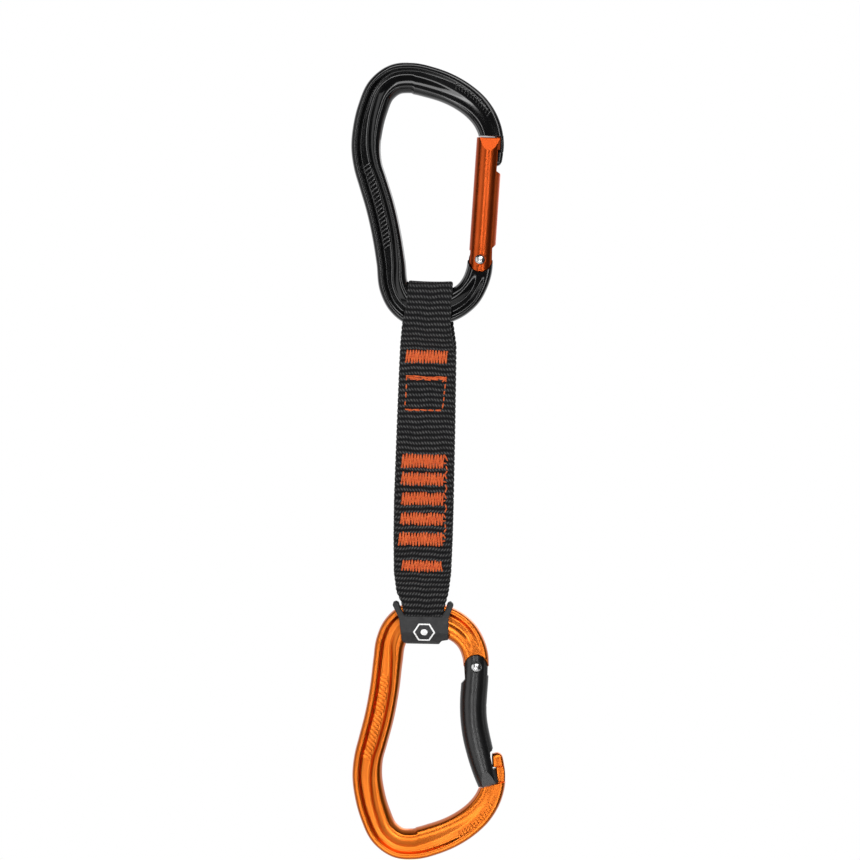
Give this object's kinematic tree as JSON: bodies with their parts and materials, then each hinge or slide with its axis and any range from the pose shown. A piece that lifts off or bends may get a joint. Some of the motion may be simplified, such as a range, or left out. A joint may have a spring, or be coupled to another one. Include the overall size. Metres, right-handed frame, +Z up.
{
  "type": "climbing quickdraw",
  "caption": "Climbing quickdraw: a straight-gate and a bent-gate keylock carabiner joined by a sewn flat webbing sling, with sprung gates and a rubber keeper.",
  "frame": {"origin": "the bolt seat: the inner apex of the top carabiner's crook, where it hangs on a bolt hanger, in the middle of the bar's thickness", "axes": "+Z up along the hanging draw, +X towards the side of both gates, +Y through the thickness of the draw, away from the front"},
  "size_m": [0.0623, 0.0164, 0.296],
  "materials": {
    "frame_black": "hot-forged aluminium, gloss black anodised",
    "gate_orange": "aluminium, satin orange-red anodised",
    "frame_amber": "hot-forged aluminium, polished orange anodised",
    "gate_black": "aluminium, gloss black anodised",
    "steel": "stainless steel",
    "webbing": "woven polyamide tape, charcoal",
    "thread": "orange bonded polyester sewing thread",
    "label": "plain woven label",
    "keeper_rubber": "matt moulded rubber"
  },
  "bodies": {
    "bolt_carabiner": {"bolt_frame": "frame_black"},
    "bolt_gate": {"bolt_gate": "gate_orange", "bolt_gate_rivet": "steel", "bolt_gate_spring": "steel"},
    "bolt_plunger": {"bolt_gate_plunger": "steel"},
    "sling": {"sling_webbing": "webbing", "box_stitch": "thread", "edge_stitch": "thread", "info_label": "label", "rope_keeper": "keeper_rubber", "bar_tack_1": "thread", "bar_tack_2": "thread", "bar_tack_3": "thread", "bar_tack_4": "thread", "bar_tack_5": "thread", "bar_tack_6": "thread", "bar_tack_7": "thread"},
    "rope_carabiner": {"rope_frame": "frame_amber"},
    "rope_gate": {"rope_gate": "gate_black", "rope_gate_rivet": "steel", "rope_gate_spring": "steel"},
    "rope_plunger": {"rope_gate_plunger": "steel"}
  },
  "joints": [
    {"name": "bolt_gate_hinge", "type": "hinge", "parent": "bolt_carabiner", "child": "bolt_gate", "pos_m": [0.0286, 0, -0.0612], "axis": [0, -1, 0], "range_deg": [0, 30], "stiffness_Nm_per_rad": 0.25, "springref_deg": -34.38},
    {"name": "bolt_plunger_slide", "type": "slide", "parent": "bolt_gate", "child": "bolt_plunger", "axis": [0.0471, 0, 0.9989], "range_m": [0, 0.001], "deforming": ["bolt_gate_spring"]},
    {"name": "sling_swing", "type": "hinge", "parent": "bolt_carabiner", "child": "sling", "pos_m": [0.01, 0, -0.0808], "axis": [1, 0, 0], "range_deg": [-90, 90], "deforming": ["sling_webbing"]},
    {"name": "rope_carabiner_swing", "type": "hinge", "parent": "sling", "child": "rope_carabiner", "pos_m": [0.0096, 0, -0.1945], "axis": [1, 0, 0], "range_deg": [-45, 45], "deforming": ["sling_webbing", "rope_keeper"]},
    {"name": "rope_gate_hinge", "type": "hinge", "parent": "rope_carabiner", "child": "rope_gate", "pos_m": [0.03027, 0, -0.21247], "axis": [0, 1, 0], "range_deg": [0, 30], "stiffness_Nm_per_rad": 0.25, "springref_deg": -34.38},
    {"name": "rope_plunger_slide", "type": "slide", "parent": "rope_gate", "child": "rope_plunger", "axis": [-0.0311, 0, -0.9995], "range_m": [0, 0.001], "deforming": ["rope_gate_spring"]}
  ],
  "couplings": [
    {"joint": "bolt_plunger_slide", "follows": "bolt_gate_hinge", "m_per_rad": 0.0019},
    {"joint": "rope_plunger_slide", "follows": "rope_gate_hinge", "m_per_rad": 0.0019}
  ]
}
